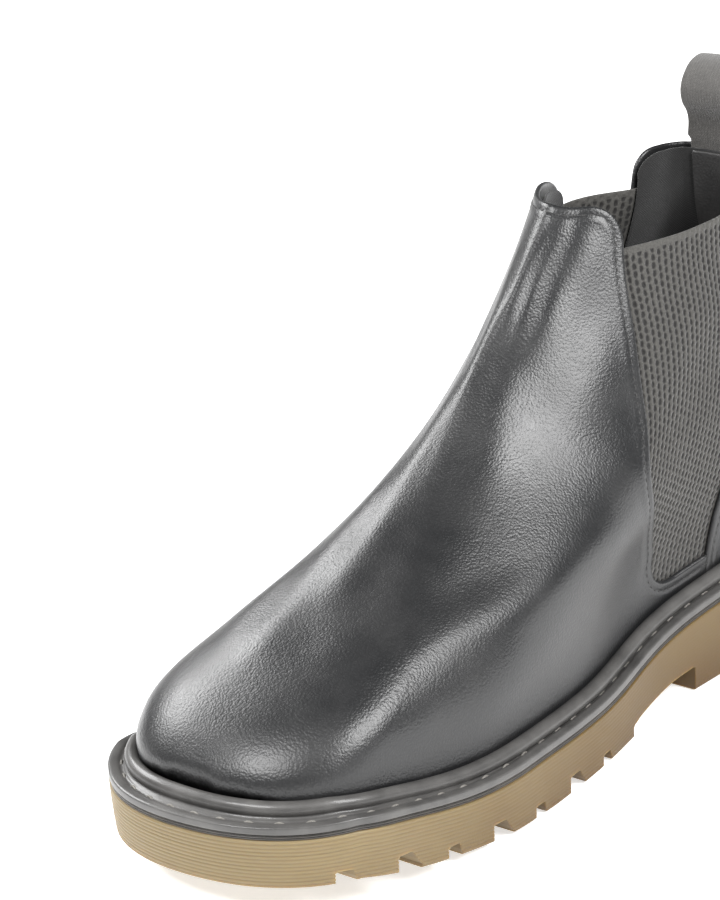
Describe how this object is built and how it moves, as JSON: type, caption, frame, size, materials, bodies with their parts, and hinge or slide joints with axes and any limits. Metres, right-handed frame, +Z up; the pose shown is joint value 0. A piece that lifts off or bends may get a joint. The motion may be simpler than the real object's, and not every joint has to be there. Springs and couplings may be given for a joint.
{
  "type": "chelsea boot",
  "caption": "Left ankle boot with elastic side gores, webbing pull loop, storm welt and lugged translucent outsole.",
  "frame": {"origin": "centre of the bounding box in plan, on the ground plane under the sole", "axes": "+Z up, -Y towards the toe, +X towards the lateral (outer) side of this left boot"},
  "size_m": [0.114, 0.3012, 0.1884],
  "materials": {
    "leather": "smooth black semi-gloss",
    "lining_leather": "matt black",
    "elastic": "woven elastic, charcoal",
    "textile": "dark textile lining",
    "webbing": "ribbed dark grey webbing",
    "board": "pressed fibre board",
    "cork": "ground cork filler",
    "steel": "spring steel",
    "black_rubber": "satin black",
    "amber_rubber": "translucent amber",
    "thread": "waxed black thread",
    "welt_thread": "waxed grey thread"
  },
  "bodies": {
    "boot": {"vamp": "leather", "quarter_lateral": "leather", "quarter_medial": "leather", "gore_lateral": "elastic", "gore_medial": "elastic", "toe_puff": "board", "heel_counter": "board", "pull_loop_ends": "webbing", "vamp_lining": "textile", "quarter_lining": "textile", "back_lining_strip": "lining_leather", "gore_thread_lateral": "thread", "gore_thread_medial": "thread", "topline_thread_front": "thread", "topline_thread_back": "thread", "welt": "black_rubber", "welt_thread": "welt_thread", "insole_board": "board", "footbed": "textile", "insole_rib": "textile", "bottom_filler": "cork", "shank": "steel", "midsole": "black_rubber", "outsole": "amber_rubber"},
    "loop": {"pull_loop": "webbing"}
  },
  "joints": [
    {"name": "pull_loop_fold", "type": "hinge", "parent": "boot", "child": "loop", "pos_m": [0, 0.13066, 0.16227], "axis": [1, 0, 0], "range_deg": [-90, 75], "stiffness_Nm_per_rad": 0.01}
  ]
}
